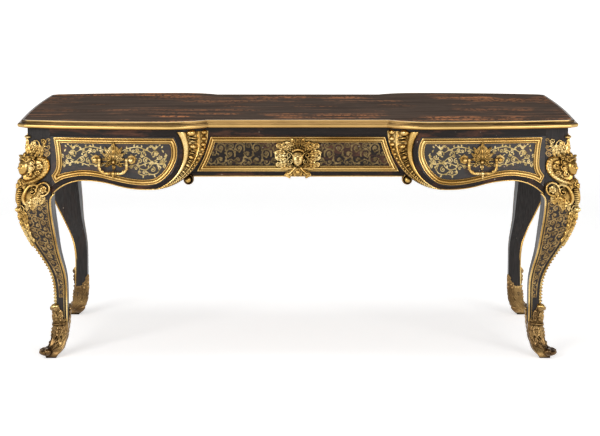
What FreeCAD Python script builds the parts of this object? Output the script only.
# Bureau plat: a writing table with three frieze drawers, cabriole legs and gilt bronze mounts.
# Millimetres, +Z up, front towards -Y, +X to the right of someone facing the front,
# origin on the floor under the middle of the table.
# One quarter (right, back) is drawn and mirrored, because the table is alike on both axes:
# the back has sham drawer fronts where the front has drawers.

import FreeCAD
import Part
import math
import os

Vector = FreeCAD.Vector
up = Vector(0, 0, 1)
along_x = Vector(1, 0, 0)
along_y = Vector(0, 1, 0)

doc = FreeCAD.newDocument("bureau_plat")
sheet = doc.addObject("Spreadsheet::Sheet", "Sizes")

driving_sizes = [
    # Plan of the top
    ("desk_width", "1806", "over the bowed ends of the top"),
    ("desk_depth", "940", "over the bows in front of the side drawers"),
    ("desk_height", "790", "floor to writing surface"),
    ("side_bow", "9", "swell of each end"),
    ("front_bow", "52", "swell of each drawer bow, from the corner to its peak"),
    ("centre_recess", "56", "how far the knee section stands back from the bow peaks"),
    ("bow_peak", "420", "bow peak from the centre line"),
    ("return_radius", "195", "round of the bow where it turns back to the knee section"),
    ("corner_cant", "26", "cut of each corner, along both sides"),
    # Top
    ("top_thickness", "24", "board and its bronze edge"),
    ("moulding_width", "20", "bronze edge beyond the board"),
    ("nose_radius", "7.5", "torus of the edge moulding"),
    ("bead_width", "7", "upper fillet of the edge moulding"),
    ("bead_height", "4", "upper fillet of the edge moulding"),
    ("leather_border", "98", "veneered border around the leather"),
    ("leather_thickness", "2", "leather let into the board"),
    ("edge_overhang", "26", "nose of the moulding beyond the frieze"),
    # Frieze
    ("rail_height", "25", "top rail over the drawers"),
    ("cornice_height", "9", "upper step of the top rail"),
    ("cornice_depth", "5", "upper step of the top rail"),
    ("front_thickness", "24", "drawer fronts, rails, stiles and end panels"),
    ("front_gap", "1", "slack around each drawer front"),
    ("post_inset", "114", "inner face of a leg post from the end of the table"),
    ("post_setback", "157", "inner face of a leg post from the bow peak"),
    ("pod_centre", "485", "round end of a side drawer, from the centre line"),
    ("pod_drop", "76", "round end of a side drawer, below the top"),
    ("pod_radius", "106", "round end of a side drawer"),
    ("arch_run", "109", "leg post to the crest of the serpentine lower edge beside it"),
    ("drawer_crest", "44", "rise of the side drawer's lower edge to its crest"),
    ("apron_crest", "27", "rise of the apron's lower edge to its crest"),
    ("arch_radius", "140", "arch beside each leg"),
    ("bracket_centre", "470", "round of the bracket, from the centre line"),
    ("bracket_drop", "9", "round of the bracket, below the top"),
    ("bracket_radius", "186", "round of the bracket"),
    ("bracket_tip", "446", "lower tip of the bracket mount, from the centre line"),
    ("centre_front_height", "120", "centre drawer front"),
    ("centre_apron_height", "13", "rail under the centre drawer"),
    # Drawer boxes and what carries them
    ("box_base_drop", "126", "lower edge of the drawer sides, below the top"),
    ("box_height", "88", "drawer sides"),
    ("box_depth", "600", "drawer sides, from the bow peak of the frieze"),
    ("box_side", "12", "drawer side and back boards"),
    ("box_floor", "8", "drawer bottom board"),
    ("floor_rise", "6", "drawer bottom above the sides' lower edge"),
    ("side_box_near", "405", "side drawer's box, side nearer the centre"),
    ("box_post_gap", "24", "side drawer's box from the leg's post"),
    ("centre_box_half", "266", "half of the centre drawer's box"),
    ("slide_gap", "0.4", "running slack of a drawer on its runner and guides"),
    ("runner_shelf", "22", "part of a runner that lies under a drawer side"),
    ("runner_height", "24", "runner below the drawer"),
    ("guide_height", "24", "guide beside the drawer"),
    ("runner_end_gap", "8", "runner's end from the inside of the frieze"),
    ("kicker_gap", "2", "drawer side to the kicker over it"),
    ("kicker_width", "40", "kicker over a drawer side"),
    ("partition_gap", "35", "partition from the side drawer's box"),
    ("partition_thickness", "20", "partition beside the centre drawer"),
    # Bronze frames
    ("frame_margin", "5", "drawer edge to frame"),
    ("frame_width", "18", "frame moulding"),
    ("frame_bead", "6", "each raised edge of the frame"),
    ("frame_base", "4", "thickness of the frame between its raised edges"),
    ("frame_height", "8", "thickness of the frame at its raised edges"),
    ("fillet_height", "7", "fillet along the lower edges"),
    ("fillet_depth", "3", "fillet along the lower edges"),
    ("drop_radius", "12", "scroll at each end of the centre fillet"),
    ("drop_depth", "16", "scroll at each end of the centre fillet"),
    ("bracket_inner", "119", "inner round of the bracket mount"),
    ("bracket_band", "13", "raised edges of the bracket mount"),
    ("bracket_base", "7", "bracket mount between its raised edges"),
    ("bracket_height", "12", "bracket mount at its raised edges"),
    # Handles
    ("handle_post_gap", "205", "middle of a handle from the leg's post"),
    ("handle_drop", "97", "pivot of a bail below the top"),
    ("knuckle_spread", "57", "each knuckle from the middle of its handle"),
    ("knuckle_radius", "8", "ball that holds the bail's pin"),
    ("knuckle_stand", "20", "pivot in front of the drawer"),
    ("stem_radius", "5", "stem of a knuckle"),
    ("rosette_radius", "13", "rosette of a knuckle"),
    ("rosette_thickness", "5", "rosette of a knuckle"),
    ("bail_half_width", "44", "bail's arms from its middle"),
    ("bail_drop", "43", "bail's bar below its pivot"),
    ("bail_corner", "22", "bend of the bail"),
    ("bail_radius", "4.5", "bail's rod"),
    ("bail_eye", "6", "ball at each end of the bail"),
    ("bail_knop", "7.5", "knop in the middle of the bail"),
    ("pin_radius", "2.5", "bail's pins"),
    ("pin_slack", "0.05", "pin in its knuckle"),
    ("palmette_half_width", "24", "plate between the knuckles"),
    ("palmette_top", "47", "plate above the pivot"),
    ("palmette_foot", "14", "plate below the pivot"),
    ("palmette_thickness", "7", "plate between the knuckles"),
    # Masks
    ("mask_drop", "96", "middle of a mask below the top"),
    ("mask_half_width", "27", "face of a mask"),
    ("mask_half_height", "35", "face of a mask"),
    ("mask_depth", "24", "face of a mask in front of its plate"),
    ("mask_plate", "8", "leafy plate of a mask"),
    # Legs
    ("knee_height", "510", "fullest point of the knee"),
    ("knee_swell", "29", "knee beyond the post's corner"),
    ("knee_face", "100", "face of the leg at the knee"),
    ("calf_height", "425", "below the knee"),
    ("calf_swell", "9", "beyond the post's corner"),
    ("calf_face", "88", "face of the leg below the knee"),
    ("shank_height", "345", "middle of the leg"),
    ("shank_draw", "29", "inside the post's corner"),
    ("shank_face", "59", "face of the leg at its middle"),
    ("shin_height", "265", "above the ankle"),
    ("shin_draw", "62", "inside the post's corner"),
    ("shin_face", "41", "face of the leg above the ankle"),
    ("ankle_height", "185", "thinnest point"),
    ("ankle_draw", "68", "inside the post's corner"),
    ("ankle_face", "37", "face of the leg at the ankle"),
    ("instep_height", "104", "inside the sabot"),
    ("instep_draw", "66", "inside the post's corner"),
    ("instep_face", "39", "face of the leg inside the sabot"),
    ("tenon_height", "62", "lower end of the wood, inside the sabot"),
    ("tenon_draw", "62", "inside the post's corner"),
    ("tenon_face", "32", "face of the leg's lower end"),
    # Bronze on the legs
    ("mount_skin", "7", "thickness of the corner mounts"),
    ("head_drop", "122", "middle of the head below the top"),
    ("head_half_width", "27", "head of a corner mount"),
    ("head_half_height", "33", "head of a corner mount"),
    ("head_stand", "3", "head's middle in front of the leg's corner"),
    ("shell_half_width", "40", "shell behind the head, on each face"),
    ("shell_half_height", "45", "shell behind the head, on each face"),
    ("shell_shift", "30", "shell's middle from the leg's corner"),
    ("scroll_drop", "200", "lower scroll below the top"),
    ("scroll_half_width", "31", "lower scroll on each face"),
    ("scroll_half_height", "33", "lower scroll on each face"),
    ("scroll_shift", "56", "lower scroll from the leg's corner"),
    ("husk_radius", "44", "leaf drop on the knee, at its top"),
    ("husk_length", "165", "leaf drop on the knee"),
    ("lip_radius", "7", "roll at the top of the corner mount"),
    ("lip_half_length", "15", "roll at the top of the corner mount"),
    ("sabot_skin", "5", "sabot over the leg"),
    ("sabot_height", "116", "sabot's collar above the floor"),
    ("sabot_leaf", "168", "tip of the sabot's leaf above the floor"),
    ("leaf_radius", "8", "roll at the tip of the sabot's leaf"),
    ("toe_radius", "13", "scroll of the toe"),
    ("toe_half_length", "13", "scroll of the toe"),
    ("toe_reach", "31", "scroll of the toe beyond the ankle"),
    ("toe_lift", "9", "scroll of the toe above the floor"),
    ("arch_height", "45", "height at which the sabot leaves the ankle for the toe"),
    ("arch_reach", "16", "sabot's corner beyond the ankle at that height"),
    ("sole_thickness", "12", "height of the sabot's rounded sole"),
    ("sole_face", "34", "flat sole of the sabot"),
]
for row, (alias, number, meaning) in enumerate(driving_sizes, start=1):
    sheet.set("A%d" % row, meaning)
    sheet.set("B%d" % row, number)
    sheet.setAlias("B%d" % row, alias)
doc.recompute()

nodes = []


def size(alias):
    return float(sheet.get(alias))


def add(kind, label):
    made = doc.addObject(kind, label)
    made.Label = label
    return made


def bind(made, formulas):
    for target, formula in formulas.items():
        made.setExpression(target, formula)
    return made


def shape(label, solid):
    made = add("Part::Feature", label)
    made.Shape = solid
    return made


def extrude(label, outline, direction, length):
    made = add("Part::Extrusion", label)
    made.Base = shape(label + "_outline", outline)
    made.DirMode = "Custom"
    made.Dir = direction
    made.Solid = True
    return bind(made, {"LengthFwd": length})


def box(label, sides, place):
    made = add("Part::Box", label)
    names = ("Length", "Width", "Height")
    bind(made, dict(zip(names, sides)))
    spots = ("Placement.Base.x", "Placement.Base.y", "Placement.Base.z")
    return bind(made, dict(zip(spots, place)))


def rod(label, radius, length, start, direction):
    made = add("Part::Cylinder", label)
    bind(made, {"Radius": radius, "Height": length})
    made.Placement = FreeCAD.Placement(start, FreeCAD.Rotation(up, direction))
    return made


def ball(label, radius, middle):
    made = add("Part::Sphere", label)
    bind(made, {"Radius": radius})
    made.Placement.Base = middle
    return made


def egg(label, upright, across, through, middle, turn=0.0):
    made = add("Part::Ellipsoid", label)
    bind(made, {"Radius1": upright, "Radius2": across, "Radius3": through})
    made.Placement = FreeCAD.Placement(middle, FreeCAD.Rotation(up, turn))
    return made


def common(label, *parts):
    made = add("Part::MultiCommon", label)
    made.Shapes = list(parts)
    return made


def fuse(label, *parts):
    made = add("Part::MultiFuse", label)
    made.Shapes = list(parts)
    made.Refine = True
    return made


def cut(label, base, tool):
    made = add("Part::Cut", label)
    made.Base = base
    made.Tool = tool
    return made


def group(label, *parts):
    made = add("Part::Compound", label)
    made.Links = list(parts)
    return made


def mirror(label, source, normal):
    made = add("Part::Mirroring", label)
    made.Source = source
    made.Normal = normal
    return made


def to_front(label, source):
    return mirror(label, source, along_y)


def to_left(label, source):
    return mirror(label, source, along_x)


def node(made):
    nodes.append(made)
    return made


# Levels and places that several pieces share
half_width = size("desk_width") / 2
half_depth = size("desk_depth") / 2
top_under = size("desk_height") - size("top_thickness")
rail_under = top_under - size("rail_height")
overhang = size("edge_overhang")
wall = size("front_thickness")
gap = size("front_gap")
post_x = half_width - size("post_inset")
post_y = half_depth - size("post_setback")
front_top = rail_under - gap
centre_face_y = half_depth - size("centre_recess") - overhang
pod_x = size("pod_centre")
pod_z = top_under - size("pod_drop")
bracket_x = size("bracket_centre")
bracket_z = top_under - size("bracket_drop")
crest_x = post_x - size("arch_run")
end_crest = post_y - size("arch_run")
apron_low = bracket_z - size("bracket_radius")
corner_x = half_width - size("side_bow")
corner_y = half_depth - size("front_bow")

under_top = "(Sizes.desk_height - Sizes.top_thickness)"
under_rail = "(%s - Sizes.rail_height)" % under_top
box_base = "(%s - Sizes.box_base_drop)" % under_top
to_bow = "Sizes.desk_depth / 2"
to_end = "Sizes.desk_width / 2"
inside_post = "(Sizes.desk_width / 2 - Sizes.post_inset)"
inside_end = "(Sizes.desk_depth / 2 - Sizes.post_setback)"
frieze_peak = "(Sizes.desk_depth / 2 - Sizes.edge_overhang)"


# Flat outlines: lines and arcs in plan or in elevation
def flat(a, b):
    return Vector(a, 0, b)


def line(start, end):
    return Part.LineSegment(start, end).toShape()


def bend(start, through, end):
    return Part.Arc(start, through, end).toShape()


def filled(edges):
    return Part.Face(Part.Wire(Part.__sortEdges__(edges)))


def polygon(points):
    return Part.Face(Part.makePolygon(points + points[:1]))


def largest(shape_with_faces):
    return max(shape_with_faces.Faces, key=lambda face: face.Area)


def on_circle(middle_x, middle_y, radius, angle):
    return middle_x + radius * math.cos(angle), middle_y + radius * math.sin(angle)


def bow_circle():
    run = corner_x - size("corner_cant") - size("bow_peak")
    radius = (run ** 2 + size("front_bow") ** 2) / (2 * size("front_bow"))
    return size("bow_peak"), half_depth - radius, radius


def end_circle():
    run = corner_y - size("corner_cant")
    radius = (run ** 2 + size("side_bow") ** 2) / (2 * size("side_bow"))
    return half_width - radius, 0.0, radius


def return_circle():
    radius = size("return_radius")
    return size("bow_peak"), half_depth - radius, radius


def bow_y(x, inset):
    middle_x, middle_y, radius = bow_circle()
    return middle_y + math.sqrt((radius - inset) ** 2 - (x - middle_x) ** 2)


def end_x(y, inset):
    middle_x, middle_y, radius = end_circle()
    return middle_x + math.sqrt((radius - inset) ** 2 - y ** 2)


def cant_meets(circle, inset, on_end):
    middle_x, middle_y, radius = circle
    sum_xy = corner_x + corner_y - size("corner_cant") - inset * math.sqrt(2)
    reach = sum_xy - middle_x - middle_y
    spread = math.sqrt(2 * (radius - inset) ** 2 - reach ** 2)
    along = (reach + spread) / 2 if on_end else (reach - spread) / 2
    return middle_x + along, middle_y + reach - along


def notch_x(inset):
    middle_x, middle_y, radius = return_circle()
    rise = half_depth - size("centre_recess") - inset - middle_y
    return middle_x - math.sqrt((radius - inset) ** 2 - rise ** 2)


def arc_points(circle, inset, start, end):
    middle_x, middle_y, radius = circle
    first = math.atan2(start[1] - middle_y, start[0] - middle_x)
    last = math.atan2(end[1] - middle_y, end[0] - middle_x)
    through = on_circle(middle_x, middle_y, radius - inset, (first + last) / 2)
    return start, through, end


def circles_meet(inset):
    # Where the bow and the end cross once the cant has run out.
    first_x, first_y, first_r = bow_circle()
    second_x, second_y, second_r = end_circle()
    first_r -= inset
    second_r -= inset
    apart = math.dist((first_x, first_y), (second_x, second_y))
    along = (first_r ** 2 - second_r ** 2 + apart ** 2) / (2 * apart)
    across = math.sqrt(first_r ** 2 - along ** 2)
    unit_x = (second_x - first_x) / apart
    unit_y = (second_y - first_y) / apart
    return first_x + along * unit_x + across * unit_y, first_y + along * unit_y - across * unit_x


def plan_edges(inset, height):
    centre_y = half_depth - size("centre_recess") - inset
    notch = (notch_x(inset), centre_y)
    peak = (size("bow_peak"), half_depth - inset)
    bow_end = cant_meets(bow_circle(), inset, False)
    end_start = cant_meets(end_circle(), inset, True)
    has_cant = bow_end[0] < end_start[0]
    if not has_cant:
        bow_end = end_start = circles_meet(inset)
    middle = (half_width - inset, 0.0)
    quarter_arcs = [
        arc_points(return_circle(), inset, notch, peak),
        arc_points(bow_circle(), inset, peak, bow_end),
    ]
    edges = []
    for sx in (1, -1):
        for sy in (1, -1):
            for arc in quarter_arcs:
                edges.append(bend(*[Vector(sx * x, sy * y, height) for x, y in arc]))
            if has_cant:
                edges.append(line(*[Vector(sx * x, sy * y, height) for x, y in (bow_end, end_start)]))
        side = (end_start, middle, (end_start[0], -end_start[1]))
        edges.append(bend(*[Vector(sx * x, y, height) for x, y in side]))
    for sy in (1, -1):
        edges.append(line(Vector(-notch[0], sy * centre_y, height), Vector(notch[0], sy * centre_y, height)))
    return edges


def plan_prism(label, inset):
    return extrude(label, filled(plan_edges(inset, 0)), up, under_top)


def serpentine(low_x, low_z, crest, rise, end, grow):
    # From the low point over the crest and down the arch beside a leg; grow moves it down.
    run = crest - low_x
    radius = (run ** 2 + rise ** 2) / (4 * rise)
    arch = size("arch_radius")
    low = flat(low_x, low_z - grow)
    lean = math.asin(run / 2 / radius)
    swell_x, swell_z = on_circle(low_x, low_z + radius, radius + grow, lean - math.pi / 2)
    dip_x, dip_z = on_circle(low_x, low_z + radius, radius + grow, lean / 2 - math.pi / 2)
    hump_x, hump_z = on_circle(crest, low_z + rise - radius, radius - grow, math.pi / 2 + lean / 2)
    top = flat(crest, low_z + rise - grow)
    reach = arch - grow
    fall = math.asin((end - crest) / reach)
    arch_x, arch_z = on_circle(crest, low_z + rise - arch, reach, math.pi / 2 - fall / 2)
    foot_x, foot_z = on_circle(crest, low_z + rise - arch, reach, math.pi / 2 - fall)
    joint = flat(swell_x, swell_z)
    foot = flat(foot_x, foot_z)
    edges = [
        bend(low, flat(dip_x, dip_z), joint),
        bend(joint, flat(hump_x, hump_z), top),
        bend(top, flat(arch_x, arch_z), foot),
    ]
    return edges, low, foot


def round_edge(middle_x, middle_z, radius, top_level):
    # Quarter round on the side nearer the centre, from a level line down to the lowest point.
    rise = top_level - middle_z
    start = flat(middle_x - math.sqrt(radius ** 2 - rise ** 2), top_level)
    first = math.pi - math.asin(rise / radius)
    through = on_circle(middle_x, middle_z, radius, (first + 3 * math.pi / 2) / 2)
    end = flat(middle_x, middle_z - radius)
    return bend(start, flat(*through), end), start, end


def side_front(grow):
    # Side drawer front: level top, round end, serpentine lower edge, upright beside the leg.
    radius = size("pod_radius")
    top_level = front_top + grow
    outer = post_x - gap + grow
    end_round, start, low = round_edge(pod_x, pod_z, radius + grow, top_level)
    lower, first, foot = serpentine(pod_x, pod_z - radius, crest_x, size("drawer_crest"), outer, grow)
    corner = flat(outer, top_level)
    return filled([line(corner, start), end_round] + lower + [line(foot, corner)])


def pod_wall():
    # Whole side section under the top rail: bracket round, then the apron's serpentine edge.
    end_round, start, low = round_edge(bracket_x, bracket_z, size("bracket_radius"), rail_under)
    lower, first, foot = serpentine(pod_x, apron_low, crest_x, size("apron_crest"), post_x, 0)
    corner = flat(post_x, rail_under)
    return filled([line(corner, start), end_round, line(low, first)] + lower + [line(foot, corner)])


def centre_front(grow):
    # Centre drawer front: its ends follow the rounds of the two brackets.
    radius = size("bracket_radius") + gap - grow
    high = front_top + grow
    deep = front_top - size("centre_front_height") - grow
    rises = [bracket_z - level for level in (high, (high + deep) / 2, deep)]
    reaches = [bracket_x - math.sqrt(radius ** 2 - rise ** 2) for rise in rises]
    levels = (high, (high + deep) / 2, deep)
    right = [flat(x, z) for x, z in zip(reaches, levels)]
    left = [flat(-x, z) for x, z in zip(reaches, levels)]
    return filled([bend(*right), bend(*left), line(left[0], right[0]), line(left[2], right[2])])


def to_left_half(edges):
    return [edge.mirror(Vector(0, 0, 0), along_x) for edge in edges]


def facing_end(face):
    face.rotate(Vector(0, 0, 0), up, 90)
    return face


def end_wall(low_z, rise, half_length, high, grow):
    # End of the frieze, drawn like an elevation and turned to face the end.
    lower, first, foot = serpentine(0, low_z, end_crest, rise, half_length, grow)
    half = [line(foot, flat(half_length, high))] + lower
    top_edge = line(flat(half_length, high), flat(-half_length, high))
    return facing_end(filled(half + to_left_half(half) + [top_edge]))


def ellipse(middle_x, middle_z, half_across, half_upright):
    centre = flat(middle_x, middle_z)
    if half_across >= half_upright:
        curve = Part.Ellipse(centre + flat(half_across, 0), centre + flat(0, half_upright), centre)
    else:
        curve = Part.Ellipse(centre + flat(0, half_upright), centre + flat(-half_across, 0), centre)
    return Part.Face(Part.Wire(curve.toShape()))


def joined(faces):
    return largest(faces[0].fuse(faces[1:]).removeSplitter())


def moved(face, y):
    copy = face.copy()
    copy.translate(Vector(0, y, 0))
    return copy


def ring(outline, outer, inner):
    return outline(outer).cut(outline(inner))


# Top: board, leather and bronze edge
board_inset = size("moulding_width")
leather_inset = board_inset + size("leather_border")
board_blank = extrude("board_blank", filled(plan_edges(board_inset, top_under)), up, "Sizes.top_thickness")
leather_level = size("desk_height") - size("leather_thickness")
leather_outline = filled(plan_edges(leather_inset, leather_level))
leather = node(extrude("writing_leather", leather_outline, up, "Sizes.leather_thickness"))
node(cut("top_board", board_blank, leather))


def edge_profile(start, outward):
    # Section of the bronze edge: torus below, cove above it, small fillet on top.
    reach = size("moulding_width")
    nose = size("nose_radius")
    bead = size("bead_width")
    height = size("top_thickness")
    shoulder = height - size("bead_height")
    cove_x = bead + (reach - nose - bead) * 0.3
    cove_z = 2 * nose + (shoulder - 2 * nose) * 0.3

    def spot(out, rise):
        return start + outward * out + up * rise

    edges = [
        line(spot(0, 0), spot(reach - nose, 0)),
        bend(spot(reach - nose, 0), spot(reach, nose), spot(reach - nose, 2 * nose)),
        bend(spot(reach - nose, 2 * nose), spot(cove_x, cove_z), spot(bead, shoulder)),
        line(spot(bead, shoulder), spot(bead, height)),
        line(spot(bead, height), spot(0, height)),
        line(spot(0, height), spot(0, 0)),
    ]
    return Part.Wire(edges)


def revolve(label, profile, circle, angle):
    made = add("Part::Revolution", label)
    made.Source = profile
    made.Base = Vector(circle[0], circle[1], 0)
    made.Axis = up
    made.Angle = angle
    made.Solid = True
    return made


def turn_from(circle, start, end):
    first = math.atan2(start[1] - circle[1], start[0] - circle[0])
    last = math.atan2(end[1] - circle[1], end[0] - circle[0])
    return math.degrees(last - first)


def mitre_line(circle, on_end):
    # Joint at a corner, from inside the board's edge to beyond the nose.
    inner = cant_meets(circle, 2 * board_inset, on_end)
    outer = cant_meets(circle, -board_inset, on_end)
    return [Vector(inner[0], inner[1], top_under), Vector(outer[0], outer[1], top_under)]


def notch_line():
    # Joint in the notch between a bow and the knee section.
    centre_y = half_depth - size("centre_recess")
    insets = (2 * board_inset, -board_inset)
    return [Vector(notch_x(inset), centre_y - inset, top_under) for inset in insets]


def split(label, joint, aside):
    # Block on one side of a joint, as tall as the top.
    spots = joint + [spot + aside for spot in reversed(joint)]
    return extrude(label, polygon(spots), up, "Sizes.top_thickness")


spare = 4 * board_inset


def bow_length():
    # From the notch round the bow to the corner.
    peak = (size("bow_peak"), half_depth - board_inset)
    start = Vector(peak[0], peak[1], top_under)
    profile = shape("bow_profile", Part.Face(edge_profile(start, along_y)))
    past_notch = (notch_x(2 * board_inset), half_depth - size("centre_recess") - 2 * board_inset)
    past_corner = (corner_x, bow_y(corner_x, board_inset))
    back_turn = revolve("return_moulding", profile, return_circle(), turn_from(return_circle(), peak, past_notch))
    bow_turn = revolve("bow_moulding", profile, bow_circle(), turn_from(bow_circle(), peak, past_corner))
    corner_waste = split("bow_waste", mitre_line(bow_circle(), False), along_x * spare)
    notch_waste = split("return_waste", notch_line(), along_x * -spare)
    bow_trimmed = cut("bow_trimmed", bow_turn, corner_waste)
    return fuse("edge_back_right", cut("return_trimmed", back_turn, notch_waste), bow_trimmed)


def middle_length():
    reach = notch_x(2 * board_inset)
    start = Vector(-reach, half_depth - size("centre_recess") - board_inset, top_under)
    made = add("Part::Extrusion", "centre_moulding")
    made.Base = shape("centre_profile", Part.Face(edge_profile(start, along_y)))
    made.DirMode = "Custom"
    made.Dir = along_x
    made.LengthFwd = 2 * reach
    made.Solid = True
    waste = split("centre_waste", notch_line(), along_x * spare)
    wastes = fuse("centre_wastes", waste, to_left("centre_waste_left", waste))
    return cut("edge_back_middle", made, wastes)


def end_length():
    # Lofted along the shallow end bow, from beyond the front corner to beyond the back corner.
    circle = end_circle()
    sections = []
    for share in (-1, -0.5, 0, 0.5, 1):
        spot = Vector(end_x(share * corner_y, board_inset), share * corner_y, top_under)
        outward = Vector(spot.x - circle[0], spot.y - circle[1], 0).normalize()
        sections.append(shape("end_section_%d" % len(sections), edge_profile(spot, outward)))
    lofted = add("Part::Loft", "end_moulding")
    lofted.Sections = sections
    lofted.Solid = True
    waste_back = split("end_waste", mitre_line(circle, True), along_y * spare)
    wastes = fuse("end_wastes", waste_back, to_front("end_waste_front", waste_back))
    return cut("edge_right", lofted, wastes)


def cant_length():
    bow_joint = mitre_line(bow_circle(), False)
    end_joint = mitre_line(end_circle(), True)
    bow_end = cant_meets(bow_circle(), board_inset, False)
    end_start = cant_meets(end_circle(), board_inset, True)
    along = Vector(end_start[0] - bow_end[0], end_start[1] - bow_end[1], 0).normalize()
    outward = Vector(-along.y, along.x, 0)
    start = Vector(bow_end[0], bow_end[1], top_under) - along * spare
    made = add("Part::Extrusion", "cant_moulding")
    made.Base = shape("cant_profile", Part.Face(edge_profile(start, outward)))
    made.DirMode = "Custom"
    made.Dir = along
    made.LengthFwd = 2 * spare + math.dist(bow_end, end_start)
    made.Solid = True
    region = extrude("cant_region", polygon(bow_joint + end_joint[::-1]), up, "Sizes.top_thickness")
    return common("edge_back_right_cant", made, region)


bow_right = bow_length()
bow_left = to_left("edge_back_left", bow_right)
back_edge = node(group("top_moulding_back", bow_right, bow_left, middle_length()))
node(to_front("top_moulding_front", back_edge))
cant_back = cant_length()
right_edge = group("edge_right_end", end_length(), cant_back, to_front("edge_front_right_cant", cant_back))
node(group("top_moulding_ends", right_edge, to_left("edge_left_end", right_edge)))


# Frieze walls: shells that follow the plan
frieze = plan_prism("frieze_block", overhang)
frieze_inside = plan_prism("frieze_inside", overhang + wall)
frieze_shell = cut("frieze_shell", frieze, frieze_inside)


def skin(label, thickness):
    return cut(label, plan_prism(label + "_block", overhang - thickness), frieze)


cornice_skin = skin("cornice_skin", size("cornice_depth"))
frame_low = skin("frame_low_skin", size("frame_base"))
frame_high = skin("frame_high_skin", size("frame_height"))
fillet_skin = skin("fillet_skin", size("fillet_depth"))
bracket_low = skin("bracket_low_skin", size("bracket_base"))
bracket_high = skin("bracket_high_skin", size("bracket_height"))


def on_bow(label, face, layer):
    return common(label, extrude(label + "_block", face, along_y, to_bow), layer)


def on_end(label, face, layer):
    return common(label, extrude(label + "_block", face, along_x, to_end), layer)


def on_centre(label, face, depth, thickness):
    return extrude(label, moved(face, centre_face_y + depth), along_y, thickness)


rail_span = "2 * " + inside_post
rail_block = box("rail_block", (rail_span, to_bow, "Sizes.rail_height"), ("-" + inside_post, "0", under_rail))
step_level = "%s - Sizes.cornice_height" % under_top
step_block = box("step_block", (rail_span, to_bow, "Sizes.cornice_height"), ("-" + inside_post, "0", step_level))
rail_wall = common("rail_wall", rail_block, frieze_shell)
rail_step = common("rail_step", step_block, cornice_skin)
back_rail = fuse("back_top_rail", rail_wall, rail_step)
node(back_rail)
node(to_front("front_top_rail", back_rail))

opening = side_front(gap)
side_wall = pod_wall().cut(opening)
halves = {}
for name, low_x, high_x in (("stile", 0, pod_x), ("apron", pod_x, post_x)):
    limit = polygon([flat(low_x, 0), flat(high_x, 0), flat(high_x, top_under), flat(low_x, top_under)])
    halves[name] = largest(side_wall.common(limit))
stile = on_bow("back_right_stile", halves["stile"], frieze_shell)
apron = on_bow("back_right_apron", halves["apron"], frieze_shell)
front_stile = to_front("front_right_stile", stile)
node(group("front_stiles", front_stile, to_left("front_left_stile", front_stile)))
node(group("back_stiles", stile, to_left("back_left_stile", stile)))

apron_top = front_top - size("centre_front_height") - gap
apron_base = apron_top - size("centre_apron_height")


def centre_apron_face():
    radius = size("bracket_radius")
    levels = (apron_top, (apron_top + apron_base) / 2, apron_base)
    reaches = [bracket_x - math.sqrt(radius ** 2 - (bracket_z - level) ** 2) for level in levels]
    right = [flat(x, z) for x, z in zip(reaches, levels)]
    left = [flat(-x, z) for x, z in zip(reaches, levels)]
    return filled([bend(*right), bend(*left), line(left[0], right[0]), line(left[2], right[2])])


centre_apron = on_centre("back_centre_apron", centre_apron_face(), -wall, "Sizes.front_thickness")
right_apron = node(to_front("front_right_apron", apron))
node(to_left("front_left_apron", right_apron))
node(to_front("front_centre_apron", centre_apron))
node(group("back_aprons", apron, to_left("back_left_apron", apron), centre_apron))

sham = on_bow("back_right_sham", side_front(gap), frieze_shell)
sham_centre = on_centre("back_centre_sham", centre_front(gap), -wall, "Sizes.front_thickness")
node(group("sham_drawer_fronts", sham, to_left("back_left_sham", sham), sham_centre))

end_face = end_wall(apron_low, size("apron_crest"), post_y, top_under, 0)
right_end = node(on_end("right_end_panel", end_face, frieze_shell))
node(to_left("left_end_panel", right_end))

# Partitions, runners with guides, and kickers
partition_sides = ("Sizes.partition_thickness", "Sizes.desk_depth", "Sizes.box_base_drop + Sizes.runner_height")
partition_level = "%s - Sizes.runner_height" % box_base
partition_near = "(Sizes.side_box_near - Sizes.partition_gap - Sizes.partition_thickness)"
partition_place = (partition_near, "-Sizes.desk_depth / 2", partition_level)
partition_block = box("partition_block", partition_sides, partition_place)
right_partition = node(common("right_partition", partition_block, frieze_inside))
node(to_left("left_partition", right_partition))


side_box_far = "(%s - Sizes.box_post_gap)" % inside_post
runner_reach = ("(Sizes.desk_depth / 2 - Sizes.centre_recess - Sizes.edge_overhang"
                " - Sizes.front_thickness - Sizes.runner_end_gap)")


def runner(label, drawer_side, carrier, inward):
    # L section: a shelf under the drawer's side and a guide beside it, fixed to the carrier.
    low = "%s - Sizes.runner_height - Sizes.slide_gap" % box_base
    length = "2 * " + runner_reach
    shelf_wide = "abs(%s - (%s)) + Sizes.runner_shelf" % (carrier, drawer_side)
    guide_wide = "abs(%s - (%s)) - Sizes.slide_gap" % (carrier, drawer_side)
    shelf_x = "%s - Sizes.runner_shelf" % drawer_side if inward < 0 else carrier
    guide_x = "%s + Sizes.slide_gap" % drawer_side if inward < 0 else carrier
    shelf = box(label + "_shelf", (shelf_wide, length, "Sizes.runner_height"),
                (shelf_x, "-" + runner_reach, low))
    guide = box(label + "_guide", (guide_wide, length, "Sizes.guide_height"),
                (guide_x, "-" + runner_reach, "%s - Sizes.slide_gap" % box_base))
    return fuse(label, shelf, guide)


partition_far = "(Sizes.side_box_near - Sizes.partition_gap)"
runners = [
    runner("right_outer_runner", side_box_far, inside_post, -1),
    runner("right_inner_runner", "Sizes.side_box_near", partition_far, 1),
    runner("right_centre_runner", "Sizes.centre_box_half", partition_near, -1),
]
runners += [to_left(made.Label.replace("right", "left"), made) for made in list(runners)]
node(group("drawer_runners", *runners))


def kicker(label, left_edge):
    level = "%s + Sizes.box_height + Sizes.kicker_gap" % box_base
    height = "Sizes.box_base_drop - Sizes.box_height - Sizes.kicker_gap"
    return box(label, ("Sizes.kicker_width", "2 * " + runner_reach, height),
               (left_edge, "-" + runner_reach, level))


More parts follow.
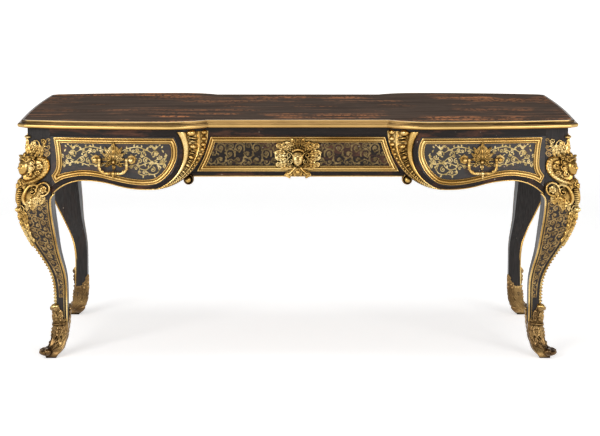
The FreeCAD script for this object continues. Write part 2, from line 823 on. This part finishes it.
kickers = [
    kicker("right_outer_kicker", side_box_far + " - Sizes.kicker_width + Sizes.box_side"),
    kicker("right_inner_kicker", "Sizes.side_box_near - Sizes.box_side"),
    kicker("right_centre_kicker", "Sizes.centre_box_half - Sizes.kicker_width + Sizes.box_side"),
]
kickers += [to_left(made.Label.replace("right", "left"), made) for made in list(kickers)]
node(group("drawer_kickers", *kickers))


# Drawers, drawn at the back and mirrored to the front
def box_board(label, sides, place):
    return common(label, box(label + "_block", sides, place), frieze_inside)


def drawer_box(label, near, far):
    # Two sides and a back, with the bottom board held between them.
    depth_start = "%s - Sizes.box_depth" % frieze_peak
    floor_level = "%s + Sizes.floor_rise" % box_base
    inner = "(%s) - (%s) - 2 * Sizes.box_side" % (far, near)
    inner_start = "(%s) + Sizes.box_side" % near
    side_board = ("Sizes.box_side", "Sizes.box_depth", "Sizes.box_height")
    near_side = box_board(label + "_near_side", side_board, (near, depth_start, box_base))
    far_side = box_board(label + "_far_side", side_board, ("(%s) - Sizes.box_side" % far, depth_start, box_base))
    back = box_board(label + "_rear", (inner, "Sizes.box_side", "Sizes.box_height"),
                     (inner_start, depth_start, box_base))
    floor = box_board(label + "_floor", (inner, "Sizes.box_depth - Sizes.box_side", "Sizes.box_floor"),
                      (inner_start, "%s + Sizes.box_side" % depth_start, floor_level))
    return group(label + "_sides_pattern", near_side, far_side, back), floor


def frame(label, outline, place):
    # Bronze frame: a flat band with a raised bead along each edge.
    outer = -size("frame_margin")
    inner = outer - size("frame_width")
    bead = size("frame_bead")
    band = place(label + "_band", ring(outline, outer, inner), False)
    outer_bead = place(label + "_outer_bead", ring(outline, outer, outer - bead), True)
    inner_bead = place(label + "_inner_bead", ring(outline, inner + bead, inner), True)
    return fuse(label, band, outer_bead, inner_bead)


def bow_frame(label, face, raised):
    return on_bow(label, largest(face), frame_high if raised else frame_low)


def centre_frame(label, face, raised):
    return on_centre(label, largest(face), 0, "Sizes.frame_height" if raised else "Sizes.frame_base")


side_frame = frame("side_frame_pattern", side_front, bow_frame)
middle_frame = frame("centre_frame_pattern", centre_front, centre_frame)
side_panel = on_bow("side_front_pattern", side_front(0), frieze_shell)
middle_panel = on_centre("centre_front_pattern", centre_front(0), -wall, "Sizes.front_thickness")
side_box, side_floor = drawer_box("side_drawer", "Sizes.side_box_near", side_box_far)
middle_box, middle_floor = drawer_box("centre_drawer", "-Sizes.centre_box_half", "Sizes.centre_box_half")


# Handles: two knuckles, a plate between them and a bail that swings on its pins
bow_x, bow_centre_y, bow_r = bow_circle()
handle_x = post_x - size("handle_post_gap")
handle_z = top_under - size("handle_drop")
handle_lean = math.degrees(math.asin((handle_x - bow_x) / (bow_r - overhang)))
handle_spot = FreeCAD.Placement(
    Vector(handle_x, bow_y(handle_x, overhang), handle_z), FreeCAD.Rotation(up, -handle_lean))
outward = handle_spot.Rotation.multVec(along_y)
sideways = handle_spot.Rotation.multVec(along_x)


def at_handle(side, out, rise):
    return handle_spot.multVec(Vector(side, out, rise))


def knuckle(label, hand):
    spread = hand * size("knuckle_spread")
    foot = at_handle(spread, -size("rosette_thickness"), 0)
    rosette = rod(label + "_rosette", "Sizes.rosette_radius", "2 * Sizes.rosette_thickness", foot, outward)
    stem_length = "Sizes.rosette_thickness + Sizes.knuckle_stand"
    stem = rod(label + "_stem", "Sizes.stem_radius", stem_length, foot, outward)
    end = ball(label + "_ball", "Sizes.knuckle_radius", at_handle(spread, size("knuckle_stand"), 0))
    bore_start = at_handle(hand * size("bail_half_width"), size("knuckle_stand"), 0)
    bore_length = "Sizes.knuckle_spread - Sizes.bail_half_width + Sizes.stem_radius"
    bore = rod(label + "_bore", "Sizes.pin_radius + Sizes.pin_slack", bore_length, bore_start, sideways * hand)
    whole = fuse(label + "_whole", rosette, stem, end)
    bored = cut(label + "_bored", whole, bore)
    return cut(label, bored, frieze)


def palmette_face():
    # Pointed leaf: two arcs to the widest point, two from there to the tip.
    wide = size("palmette_half_width")
    top = size("palmette_top")
    foot = size("palmette_foot")
    belly = (top - foot) / 3
    edges = []
    for hand in (1, -1):
        low = flat(0, -foot)
        side = flat(hand * wide, belly)
        tip = flat(0, top)
        edges.append(bend(low, flat(hand * wide * 0.75, (belly - foot) / 2 - foot * 0.2), side))
        edges.append(bend(side, flat(hand * wide * 0.72, belly + (top - belly) * 0.62), tip))
    return filled(edges)


def palmette(label):
    plate = moved(palmette_face(), -size("palmette_thickness")).extrude(along_y * (2 * size("palmette_thickness")))
    blank = shape(label + "_blank", plate)
    blank.Placement = handle_spot
    return cut(label, blank, frieze)


def bail_shape():
    # Round rod bent to a loop, with a pin at each eye and a knop in the middle of the grip.
    wide = size("bail_half_width")
    drop = size("bail_drop")
    corner = size("bail_corner")
    rod_radius = size("bail_radius")
    pin_length = size("knuckle_spread") - wide + size("stem_radius") / 2

    def spot(side, rise):
        return Vector(side, size("knuckle_stand"), rise)

    pieces = [Part.makeSphere(size("bail_knop"), spot(0, -drop), along_x)]
    pieces.append(Part.makeCylinder(rod_radius, 2 * (wide - corner), spot(corner - wide, -drop), along_x))
    for hand in (1, -1):
        turn = spot(hand * wide, corner - drop)
        pieces.append(Part.makeCylinder(rod_radius, drop - corner, turn, up))
        section = Part.Face(Part.Wire(Part.Circle(turn, up * -1, rod_radius).toShape()))
        pieces.append(section.revolve(spot(hand * (wide - corner), corner - drop), along_y, hand * 90))
        pieces.append(Part.makeSphere(size("bail_eye"), spot(hand * wide, 0), along_x))
        pieces.append(Part.makeCylinder(size("pin_radius"), pin_length, spot(hand * wide, 0), along_x * hand))
    whole = pieces[0]
    for piece in pieces[1:]:
        whole = whole.fuse(piece)
    return whole


right_knuckles = [knuckle("knuckle_a", 1), knuckle("knuckle_b", -1)]
handle_mount = group("back_right_handle_mount", palmette("palmette"), *right_knuckles)
bail = shape("back_right_bail", bail_shape())
bail.Placement = handle_spot
node(bail)
node(to_left("back_left_bail", bail))
node(group("back_handle_mounts", handle_mount, to_left("back_left_handle_mount", handle_mount)))


def mask(label):
    # Head on a leafy plate that overlaps the frame above and below the panel.
    level = top_under - size("mask_drop")
    wide = size("mask_half_width")
    tall = size("mask_half_height")
    lobes = [ellipse(0, level, wide * 1.3, tall * 1.35), ellipse(0, level + tall, wide * 1.2, tall * 0.72)]
    for hand in (1, -1):
        lobes.append(ellipse(hand * wide * 1.85, level, wide * 0.95, tall * 0.6))
        lobes.append(ellipse(hand * wide * 1.3, level - tall * 1.12, wide * 1.05, tall * 0.5))
    plate = on_centre(label + "_plate", joined(lobes), size("frame_height"), "Sizes.mask_plate")
    boss_face = ellipse(0, level + tall * 0.3, wide, tall * 0.72)
    boss = on_centre(label + "_boss", boss_face, 0, "Sizes.frame_height + Sizes.mask_plate")
    middle = Vector(0, centre_face_y + size("frame_height") + size("mask_plate"), level)
    head = egg(label + "_head", "Sizes.mask_half_height", "Sizes.mask_half_width", "Sizes.mask_depth", middle)
    behind = box(label + "_behind", ("Sizes.desk_width", "Sizes.desk_depth", "Sizes.desk_height"),
                 ("-Sizes.desk_width / 2", "-Sizes.desk_depth", "0"))
    behind_y = "Sizes.desk_depth / 2 - Sizes.centre_recess - Sizes.edge_overhang + Sizes.frame_height"
    bind(behind, {"Placement.Base.y": behind_y + " - Sizes.desk_depth"})
    face = cut(label + "_face", head, behind)
    return fuse(label, plate, boss, face)


back_mask = node(mask("back_mask"))

drawer_pieces = (("front", side_panel), ("frame", side_frame), ("sides", side_box), ("bottom", side_floor),
                 ("handle_mount", handle_mount), ("bail", bail))
for part_name, pattern in drawer_pieces:
    name = part_name if part_name in ("handle_mount", "bail") else "drawer_" + part_name
    right_piece = node(to_front("right_" + name, pattern))
    node(to_left("left_" + name, right_piece))
centre_pieces = (("drawer_front", middle_panel), ("drawer_frame", middle_frame), ("drawer_sides", middle_box),
                 ("drawer_bottom", middle_floor), ("mask", back_mask))
for part_name, pattern in centre_pieces:
    node(to_front("centre_" + part_name, pattern))
node(group("sham_drawer_frames", side_frame, to_left("back_left_frame", side_frame), middle_frame))


# Brackets, end frames and fillets
def bracket_faces():
    outer_radius = size("bracket_radius") - gap
    band = size("bracket_band")
    inner_radius = size("bracket_inner")
    tip = size("bracket_tip")
    limit = polygon([flat(0, 0), flat(tip, 0), flat(tip, bracket_z), flat(0, bracket_z)])

    def disc(x, z, radius):
        return Part.Face(Part.Wire(Part.Circle(flat(x, z), along_y, radius).toShape()))

    whole = disc(bracket_x, bracket_z, outer_radius).common(limit).cut(disc(pod_x, pod_z, inner_radius))
    whole = largest(whole)
    inner_band = whole.common(disc(pod_x, pod_z, inner_radius + band))
    outer_band = whole.cut(disc(bracket_x, bracket_z, outer_radius - band))
    return whole, largest(inner_band), largest(outer_band)


def bracket(label):
    whole, inner_band, outer_band = bracket_faces()
    base = on_bow(label + "_base", whole, bracket_low)
    inner = on_bow(label + "_inner", inner_band, bracket_high)
    outer = on_bow(label + "_outer", outer_band, bracket_high)
    rail_front = cut(label + "_clear", fuse(label + "_whole", base, inner, outer), rail_step)
    return rail_front


back_bracket = bracket("back_right_bracket")
node(to_front("front_right_bracket", back_bracket))
node(to_left("front_left_bracket", nodes[-1]))
node(group("back_brackets", back_bracket, to_left("back_left_bracket", back_bracket)))


def end_frame_outline(grow):
    low = apron_low + size("frame_margin") + size("fillet_height")
    return end_wall(low, size("apron_crest"), post_y - gap + grow, front_top + grow, grow)


def end_frame_place(label, face, raised):
    return on_end(label, largest(face), frame_high if raised else frame_low)


right_end_frame = frame("right_end_frame", end_frame_outline, end_frame_place)
node(group("end_panel_frames", right_end_frame, to_left("left_end_frame", right_end_frame)))


def fillet_strip(low_x, crest, end):
    rise = size("apron_crest")
    deep = size("fillet_height")
    lower, low_a, foot_a = serpentine(low_x, apron_low, crest, rise, end, 0)
    upper, low_b, foot_b = serpentine(low_x, apron_low, crest, rise, end, -deep)
    return filled(lower + upper + [line(low_a, low_b), line(foot_a, foot_b)])


def end_strip():
    rise = size("apron_crest")
    lower, low_a, foot_a = serpentine(0, apron_low, end_crest, rise, post_y, 0)
    upper, low_b, foot_b = serpentine(0, apron_low, end_crest, rise, post_y, -size("fillet_height"))
    half = lower + upper + [line(foot_a, foot_b)]
    return facing_end(filled(half + to_left_half(half)))


def centre_fillet(label):
    reach = bracket_x - math.sqrt(size("bracket_radius") ** 2 - (bracket_z - apron_base) ** 2)
    deep = size("fillet_height")
    half = reach - gap
    strip = polygon([flat(-half, apron_base), flat(half, apron_base),
                     flat(half, apron_base + deep), flat(-half, apron_base + deep)])
    bar = on_centre(label + "_bar", strip, 0, "Sizes.fillet_depth")
    drops = []
    for name, hand in (("right", 1), ("left", -1)):
        spot = Vector(hand * (half - size("drop_radius")), centre_face_y, apron_base + deep - size("drop_radius"))
        drops.append(rod("%s_%s_scroll" % (label, name), "Sizes.drop_radius", "Sizes.drop_depth", spot, along_y))
    return fuse(label, bar, *drops)


back_right_fillet = on_bow("back_right_fillet", fillet_strip(pod_x, crest_x, post_x), fillet_skin)
back_centre_fillet = centre_fillet("back_centre_fillet")
right_end_fillet = on_end("right_end_fillet", end_strip(), fillet_skin)
back_fillets = [back_right_fillet, to_left("back_left_fillet", back_right_fillet), back_centre_fillet]
front_fillets = [to_front(made.Label.replace("back", "front"), made) for made in back_fillets]
end_fillets = [right_end_fillet, to_left("left_end_fillet", right_end_fillet)]
node(group("apron_fillets", *(front_fillets + back_fillets + end_fillets)))


# Legs: a corner post above the knee, an S curve below it
diagonal_offset = corner_x - corner_y
post_corner = corner_x - size("corner_cant") / 2 - overhang / math.sqrt(2)
post_front_y = bow_y(post_x, overhang)
post_end_x = end_x(post_y, overhang)


def post_section(z, corner, grow, skin_inside):
    front_y = post_front_y + grow
    side_x = post_end_x + grow
    return [
        Vector(corner + grow, corner - diagonal_offset + grow, z),
        Vector(post_x - skin_inside, max(front_y, 0), z),
        Vector(post_x - skin_inside, post_y - skin_inside, z),
        Vector(side_x, post_y - skin_inside, z),
    ]


def leg_section(z, corner, face, grow, skin_inside):
    near = corner - face - skin_inside
    far = corner + grow
    return [
        Vector(far, far - diagonal_offset, z),
        Vector(near, far - diagonal_offset, z),
        Vector(near, near - diagonal_offset, z),
        Vector(far, near - diagonal_offset, z),
    ]


def leg_stations():
    # Height, corner of the section and face width, from the knee to the end inside the sabot.
    names = (("knee", "swell", 1), ("calf", "swell", 1), ("shank", "draw", -1), ("shin", "draw", -1),
             ("ankle", "draw", -1), ("instep", "draw", -1), ("tenon", "draw", -1))
    stations = []
    for name, word, way in names:
        corner = post_corner + way * size("%s_%s" % (name, word))
        stations.append((size(name + "_height"), corner, size(name + "_face")))
    return stations


def section_wire(corners):
    return Part.makePolygon(corners + corners[:1])


def leg_loft(grow, skin_inside):
    knee = leg_stations()[0]
    lean = (rail_under + knee[0]) / 2
    sections = [
        post_section(top_under, post_corner, grow, skin_inside),
        post_section(rail_under, post_corner, grow, skin_inside),
        post_section(lean, post_corner + size("knee_swell") * 0.55, grow, skin_inside),
    ]
    sections += [leg_section(z, corner, face, grow, skin_inside) for z, corner, face in leg_stations()]
    return Part.makeLoft([section_wire(corners) for corners in sections], True, False)


leg_blank = shape("leg_blank", leg_loft(0, 3))
lower, apron_first, arch_foot = serpentine(pod_x, apron_low, crest_x, size("apron_crest"), post_x, 0)
arch_level = arch_foot.z


def joint_clear(label):
    # Planes against which the rails, aprons, end panels and drawers fit.
    clear_height = "Sizes.desk_height"
    beside = box(label + "_beside", (inside_post, to_bow, clear_height), ("0", "0", "0"))
    behind = box(label + "_behind", (to_end, inside_end, clear_height), ("0", "0", "0"))
    for made in (beside, behind):
        made.Placement.Base = Vector(0, 0, arch_level)
        made.setExpression("Placement.Base.z", None)
    return fuse(label, beside, behind)


leg = cut("back_right_leg", leg_blank, joint_clear("leg_joint"))


def corner_at(z):
    # Corner of the leg at a height, by straight lines between its stations.
    knee = leg_stations()[0]
    lean = (rail_under + knee[0]) / 2
    points = [(rail_under, post_corner), (lean, post_corner + size("knee_swell") * 0.55)]
    points += [(station[0], station[1]) for station in leg_stations()]
    for (high, corner_a), (low, corner_b) in zip(points, points[1:]):
        if low <= z <= high:
            return corner_b + (corner_a - corner_b) * (z - low) / (high - low)
    return points[0][1] if z > points[0][0] else points[-1][1]


diagonal_out = Vector(1, 1, 0).normalize()
diagonal_across = Vector(-1, 1, 0).normalize()


def on_corner(z, stand):
    corner = corner_at(z)
    return Vector(corner, corner - diagonal_offset, z) + diagonal_out * stand


def tapered(levels):
    # Solid of round sections that follows the leg's corner.
    wires = [Part.Wire(Part.Circle(on_corner(z, 0), up, radius).toShape()) for z, radius in levels]
    return Part.makeLoft(wires, True, False)


def wing(z, shift, half_across, half_upright):
    # The same leaf on both faces of the leg, drawn on one and mirrored in the diagonal.
    face = ellipse(corner_at(z) - shift, z, half_across, half_upright)
    on_back = face.extrude(along_y * half_depth)
    middle = Vector(diagonal_offset, 0, 0)
    return [on_back, on_back.mirror(middle, diagonal_across)]


def corner_mount(label):
    head_z = top_under - size("head_drop")
    scroll_z = top_under - size("scroll_drop")
    husk_top = scroll_z - size("scroll_half_height") / 2
    husk_end = husk_top - size("husk_length")
    radius = size("husk_radius")
    lip_z = rail_under - size("lip_radius")
    plume = tapered([(lip_z, size("lip_half_length")), (head_z, size("head_half_width"))])
    husk = tapered([(head_z, size("head_half_width")), (husk_top, radius),
                    ((husk_top + husk_end) / 2, radius * 0.62), (husk_end, radius * 0.12)])
    leaves = wing(head_z, size("shell_shift"), size("shell_half_width"), size("shell_half_height"))
    leaves += wing(scroll_z, size("scroll_shift"), size("scroll_half_width"), size("scroll_half_height"))
    spread = plume.fuse([husk] + leaves)
    skin_solid = leg_loft(size("mount_skin"), 0)
    covered = shape(label + "_cover", spread.common(skin_solid))
    head = egg(label + "_head", "Sizes.head_half_height", "Sizes.head_half_width", "Sizes.head_half_width",
               on_corner(head_z, size("head_stand")))
    lip_start = on_corner(lip_z, size("lip_radius")) - diagonal_across * size("lip_half_length")
    lip = rod(label + "_lip", "Sizes.lip_radius", "2 * Sizes.lip_half_length", lip_start, diagonal_across)
    whole = fuse(label + "_whole", covered, head, lip)
    seated = cut(label + "_seated", whole, leg)
    return cut(label, seated, joint_clear(label + "_joint"))


def sabot(label):
    # Bronze shoe: socket for the leg, leaf up the corner, scroll at the toe.
    ankle = post_corner - size("ankle_draw")
    skin_depth = size("sabot_skin")
    face = size("instep_face") + 2 * skin_depth
    toe = ankle + size("toe_reach")
    collar = size("sabot_height")
    sole = size("sole_thickness")
    arch = size("arch_height")
    bend_out = ankle + size("arch_reach")
    levels = [
        (collar, ankle + skin_depth * 1.4, face - skin_depth / 2),
        ((collar + arch) / 2, ankle + skin_depth * 1.6, face - skin_depth / 2),
        (arch, bend_out, face - skin_depth / 2),
        ((arch + sole) / 2, (bend_out + toe) / 2, face - skin_depth / 2),
        (sole, toe, (face + size("sole_face")) / 2),
        (0, toe, size("sole_face")),
    ]
    wires = [section_wire(leg_section(z, corner, width, 0, 0)) for z, corner, width in levels]
    shoe = Part.makeLoft(wires, True, False)
    leaf = tapered([(size("sabot_leaf"), size("leaf_radius") * 1.6), (collar - skin_depth, face * 0.6)])
    leaf = leaf.common(leg_loft(skin_depth, 0))
    body = shape(label + "_body", shoe.fuse(leaf))
    roll_z = size("sabot_leaf") - size("leaf_radius")
    roll_half = size("leaf_radius") * 1.6
    roll_start = on_corner(roll_z, skin_depth) - diagonal_across * roll_half
    roll = rod(label + "_roll", "Sizes.leaf_radius", "3.2 * Sizes.leaf_radius", roll_start, diagonal_across)
    toe_spot = Vector(toe, toe - diagonal_offset, size("toe_radius") + size("toe_lift"))
    toe_start = toe_spot - diagonal_across * size("toe_half_length")
    scroll = rod(label + "_toe", "Sizes.toe_radius", "2 * Sizes.toe_half_length", toe_start, diagonal_across)
    return cut(label, fuse(label + "_whole", body, roll, scroll), leg)


def four_corners(name, pattern):
    pattern.Label = "back_right_" + name
    node(pattern)
    node(to_left("back_left_" + name, pattern))
    front_right = node(to_front("front_right_" + name, pattern))
    node(to_left("front_left_" + name, front_right))


four_corners("leg", leg)
four_corners("corner_mount", corner_mount("back_right_corner_mount"))
four_corners("sabot", sabot("back_right_sabot"))

doc.recompute()
faults = [made.Label for made in doc.Objects if "Invalid" in made.State or "Error" in made.State]
for made in nodes:
    if made.Shape.isNull() or not made.Shape.isValid() or not made.Shape.Solids:
        faults.append(made.Label)
if faults:
    raise RuntimeError("pieces that failed: " + ", ".join(faults))

os.makedirs("parts", exist_ok=True)
for made in nodes:
    made.Shape.exportStep("parts/%s.step" % made.Label)
    print(made.Label, len(made.Shape.Solids), round(made.Shape.Volume / 1000, 1), "cm3")
print(len(nodes), "nodes")
